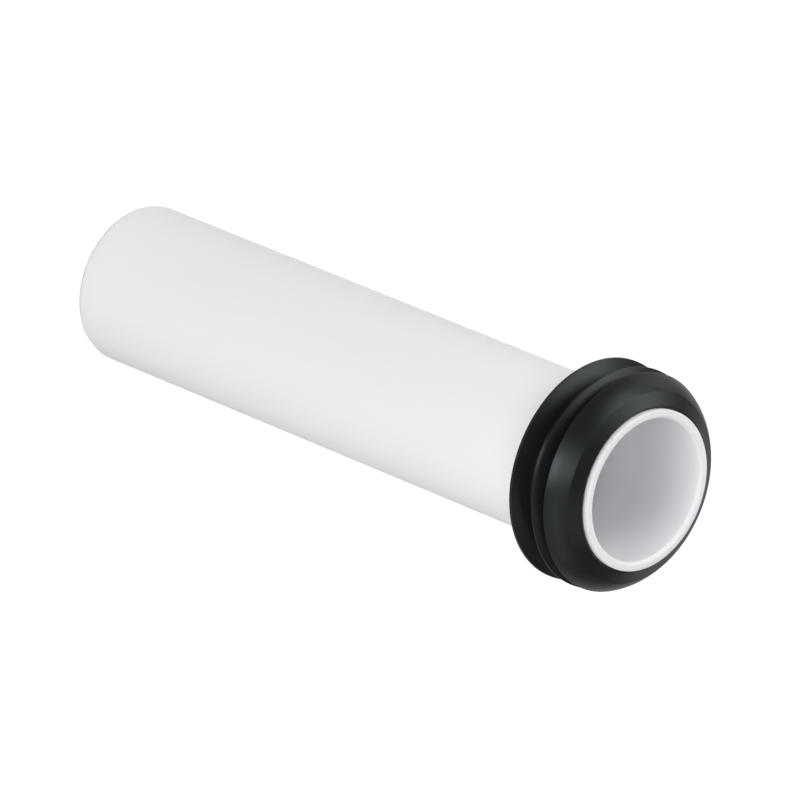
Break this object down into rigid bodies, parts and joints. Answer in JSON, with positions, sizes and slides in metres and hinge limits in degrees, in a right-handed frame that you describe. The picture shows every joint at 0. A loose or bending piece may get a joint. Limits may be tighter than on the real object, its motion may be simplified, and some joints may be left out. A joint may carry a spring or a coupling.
{
  "type": "flush pipe extension",
  "caption": "Straight white plastic flush pipe with a black rubber push-in lip seal at its mouth, lengthening the run from a cistern to a toilet pan.",
  "frame": {"origin": "centre of the plain end's face, on which the pipe stands", "axes": "+Z along the pipe's axis from the plain end to the mouth with the seal; +X and +Y are any two square directions across it"},
  "size_m": [0.062, 0.062, 0.202],
  "materials": {
    "pipe_plastic": "smooth white satin",
    "seal_rubber": "moulded black, satin"
  },
  "bodies": {
    "root": {"flush_pipe": "pipe_plastic", "lip_seal": "seal_rubber"}
  },
  "joints": []
}
